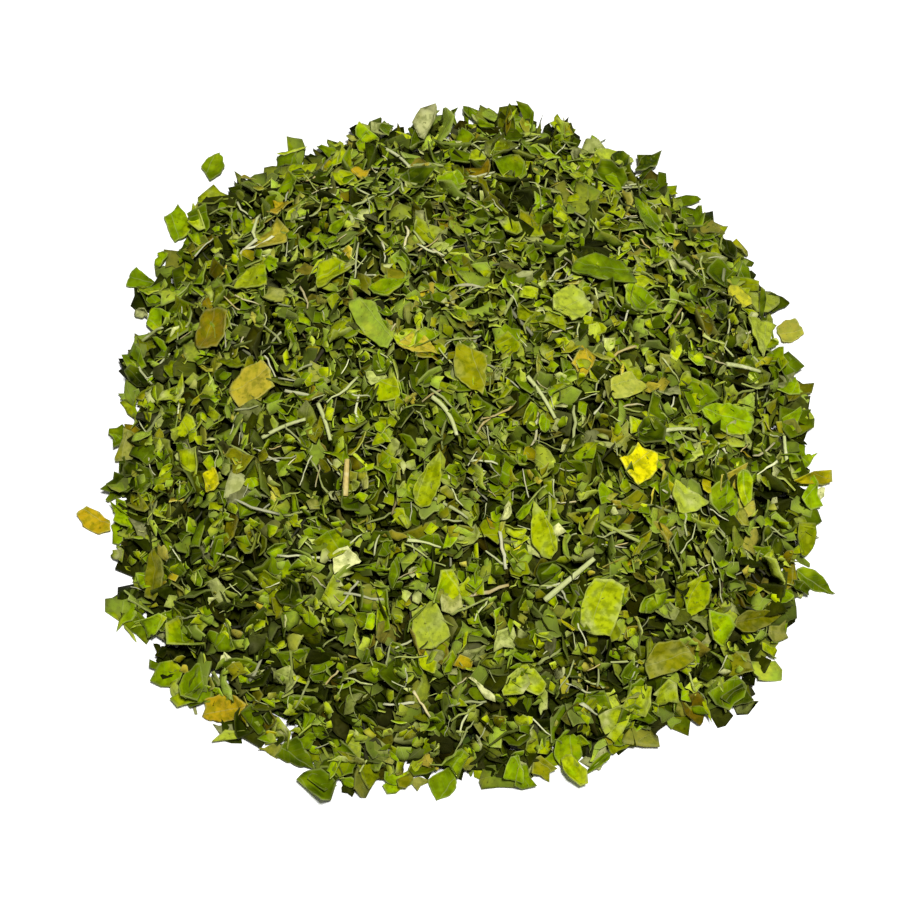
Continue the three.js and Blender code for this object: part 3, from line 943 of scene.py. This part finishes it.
# tone, shade, then 1 where the paler underside shows
flakeLooks = {
    "stray_green_flake": ("green", 0.7, 0), "stray_tan_flake": ("orange", 0.95, 0),
    "stray_triangle_flake": ("green", 0.85, 0), "spike_flake": ("darkGreen", 1.2, 0),
    "brown_square_flake": ("brown", 0.8, 0), "orange_star_flake": ("orange", 0.95, 0),
    "pale_kite_flake": ("yellowGreen", 0.8, 0), "pale_trapezoid_flake": ("yellowGreen", 0.75, 0),
    "corner_flake": ("brightGreen", 0.8, 0), "lobed_left_flake": ("brightGreen", 0.95, 0),
    "folded_yellow_green_flake": ("yellowGreen", 0.75, 0), "mottled_lobed_flake": ("brightGreen", 1.0, 0),
    "orange_chip": ("orange", 1.0, 0), "green_oval_flake": ("brightGreen", 0.78, 0),
    "large_green_flake": ("brightGreen", 0.85, 1), "olive_tan_triangle": ("tan", 0.9, 0),
    "big_pale_flake": ("paleGreen", 0.9, 1), "pointed_green_flake": ("green", 0.9, 0),
    "large_dark_flake": ("green", 0.7, 0), "pale_olive_flake": ("paleGreen", 0.9, 1),
    "heart_shaped_flake": ("green", 1.0, 0), "yellow_corner_flake": ("yellow", 0.75, 1),
    "dark_round_flake": ("black", 0.8, 0), "pale_triangle_flake": ("paleGreen", 0.8, 1),
    "brown_edge_flake": ("brown", 1.05, 1), "near_whole_leaflet": ("brightGreen", 1.0, 0),
    "pale_tan_triangle": ("paleGreen", 0.9, 1), "round_green_flake": ("green", 0.95, 0),
    "long_curled_flake": ("olive", 0.5, 0), "ribbed_tan_flake": ("tan", 0.85, 0),
    "large_olive_flake": ("olive", 0.85, 0), "yellow_green_square": ("yellowGreen", 0.92, 0),
    "folded_middle_flake": ("paleGreen", 0.68, 0), "cream_flake": ("cream", 1.05, 0),
    "bright_yellow_flake": ("yellow", 0.95, 0), "olive_tan_trapezoid": ("olive", 1.2, 1),
    "light_pointed_flake": ("paleGreen", 0.8, 0), "yellow_chip": ("yellow", 0.7, 0),
    "olive_upright_flake": ("olive", 0.55, 0), "large_bright_flake": ("paleGreen", 0.85, 0),
    "olive_green_flake": ("yellowGreen", 0.72, 0), "folded_olive_flake": ("olive", 0.7, 0),
    "orange_tan_foot_flake": ("orange", 0.85, 0), "dark_foot_triangle": ("darkGreen", 0.9, 0),
    "pale_lobed_flake": ("paleGreen", 0.75, 1), "front_foot_flake": ("green", 0.8, 0),
    "bright_front_flake": ("brightGreen", 0.75, 0), "pale_front_triangle": ("paleGreen", 0.75, 0),
}
stalkTones = {"tan_stem_strip": 1.0, "long_thin_stem": 0.6}


def smoothCopy(name, levels):
    mesh = frame["nodes"][name].data.copy()
    bm = bmesh.new()
    bm.from_mesh(mesh)
    bmesh.ops.remove_doubles(bm, verts=bm.verts, dist=1e-6)
    crease = bm.edges.layers.float.new("crease_edge")
    pinch = bm.verts.layers.float.new("crease_vert")
    for edge in bm.edges:
        if edge.calc_face_angle(0) > 0.9:
            edge[crease] = 1.0
    for vert in bm.verts:
        sides = [edge for edge in vert.link_edges if edge[crease] > 0 and edge.calc_length() > 0.6 * mm]
        if len(sides) == 2:
            first, second = [(edge.other_vert(vert).co - vert.co).normalized() for edge in sides]
            vert[pinch] = 0.9 if first.angle(-second) > 0.5 else 0.0
    for face in bm.faces:
        face.smooth = True
    bm.to_mesh(mesh)
    bm.free()
    mesh.materials.clear()
    piece = bpy.data.objects.new(name + "_leaf", mesh)
    bpy.context.scene.collection.objects.link(piece)
    modifier = piece.modifiers.new("smooth", "SUBSURF")
    modifier.levels = modifier.render_levels = levels
    ready = piece.evaluated_get(bpy.context.evaluated_depsgraph_get())
    piece.data = bpy.data.meshes.new_from_object(ready)
    piece.modifiers.clear()
    return piece


def ownFrame(mesh):  # the middle of a flake and its length, width and thickness directions
    points = np.array([v.co for v in mesh.vertices])
    centre = points.mean(axis=0)
    axes = np.linalg.svd(points - centre, full_matrices=False)[2]
    if axes[2][2] < 0:
        axes[2] *= -1
    return points, centre, axes


def finishNamed(name):
    isStalk = name not in flakeLooks
    piece = smoothCopy(name, 1 if isStalk else 2)
    mesh = piece.data
    points, centre, axes = ownFrame(mesh)
    local = (points - centre) @ axes.T / mm
    seed = sum(ord(letter) for letter in name)
    rng = np.random.default_rng(seed)
    angles = np.arctan2(local[:, 1], local[:, 0])
    spans = np.hypot(local[:, 0], local[:, 1])
    sectors = ((angles + math.pi) / (2 * math.pi) * 36).astype(int) % 36
    outer = np.array([spans[sectors == i].max() if (sectors == i).any() else spans.max() for i in range(36)])
    reach = spans / outer[sectors]
    side = np.array([v.normal[:] for v in mesh.vertices]) @ axes[2]
    shift = np.array([rng.uniform(-3, 3), rng.uniform(-1.5, 1.5)])
    tone, shade, under = flakeLooks.get(name, ("tan", 1.0, 0))
    values = {
        "tone": np.full(len(points), stalkTones.get(name, 0.4) if isStalk else tones[tone]),
        "shade": np.full(len(points), shade),
        "underside": np.where(side > 0, under, 1.0 - under),
        "reach": reach,
    }
    for key, data in values.items():
        mesh.attributes.new(key, "FLOAT", "POINT").data.foreach_set("value", data)
    layer = mesh.uv_layers.new(name="leafMap")
    scale = 10.0 if isStalk else 20.0
    for loop in mesh.loops:
        u, v = local[loop.vertex_index][:2] + (0 if isStalk else shift)
        layer.data[loop.index].uv = (u / scale, v / scale)
    for vert, far, (x, y, _) in zip(mesh.vertices, reach, local):
        place = Vector((x, y, seed))   # both skins share it, so they stay apart
        ragged = noise.noise_vector(place / 1.5) * 0.42 * far * mm
        ragged.z = 0
        waved = noise.noise(place / 2.6 + Vector((seed, 0, 0))) * 0.8 * mm
        vert.co += ragged * (not isStalk) + Vector(axes[2]) * waved * (not isStalk)
        vert.co.z = max(vert.co.z, 0.02 * mm)
    mesh.materials.append(finishes["stalk" if isStalk else "leaf"])
    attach(piece, "root")
    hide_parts(name)


for looseNode in looseNodes:
    finishNamed(looseNode)
print("named flakes finished:", len(looseNodes))

# ---- stage: pale floor, soft light, camera

studio = {
    "elevation": 70.0, "distance": 600.0, "viewWidth": 202.0, "aimHeight": 10.0,   # degrees and mm
    "aim": (-2.2, -6.3),
    "skyLight": 0.12, "keyPower": 56.0, "keySize": 0.3, "keyPlace": (0.2, -0.2, 2.0),
}


def makeStage():
    bm = bmesh.new()
    bmesh.ops.create_grid(bm, x_segments=2, y_segments=2, size=4.0)
    mesh = bpy.data.meshes.new("floor")
    bm.to_mesh(mesh)
    bm.free()
    floor = bpy.data.objects.new("floor", mesh)
    f = Finish("paleFloor")
    place = f.node("ShaderNodeTexCoord", out="Object")
    grain = f.speckle(place, 60.0, 2.0)
    tint = f.blend(grain, (0.93, 0.93, 0.93, 1), (0.95, 0.95, 0.95, 1))
    mesh.materials.append(f.surface(Base_Color=tint, Roughness=0.9, Specular_IOR_Level=0.1))
    bpy.context.scene.collection.objects.link(floor)

    world = bpy.data.worlds.new("studio")
    world.use_nodes = True
    world.node_tree.nodes["Background"].inputs["Color"].default_value = (1, 1, 1, 1)
    world.node_tree.nodes["Background"].inputs["Strength"].default_value = studio["skyLight"]
    bpy.context.scene.world = world

    key = bpy.data.lights.new("key", "AREA")
    key.shape, key.size, key.energy = "DISK", studio["keySize"], studio["keyPower"]
    lamp = bpy.data.objects.new("key", key)
    lamp.location = studio["keyPlace"]
    lamp.rotation_euler = (-Vector(studio["keyPlace"])).to_track_quat("-Z", "Y").to_euler()
    bpy.context.scene.collection.objects.link(lamp)

    angle = math.radians(studio["elevation"])
    low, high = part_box(bulkNode)
    target = Vector(((low[0] + high[0]) / 2 + studio["aim"][0] * mm,
                     (low[1] + high[1]) / 2 + studio["aim"][1] * mm, studio["aimHeight"] * mm))
    camera = bpy.data.cameras.new("camera")
    camera.sensor_width = 36.0
    camera.lens = 36.0 * studio["distance"] / studio["viewWidth"]
    camera.clip_start, camera.clip_end = 0.01, 50.0
    holder = bpy.data.objects.new("camera", camera)
    holder.location = target + studio["distance"] * mm * Vector((0, -math.cos(angle), math.sin(angle)))
    holder.rotation_euler = (target - holder.location).to_track_quat("-Z", "Y").to_euler()
    bpy.context.scene.collection.objects.link(holder)
    bpy.context.scene.camera = holder
    bpy.context.scene.view_settings.view_transform = "Standard"


makeStage()
print("stage set")
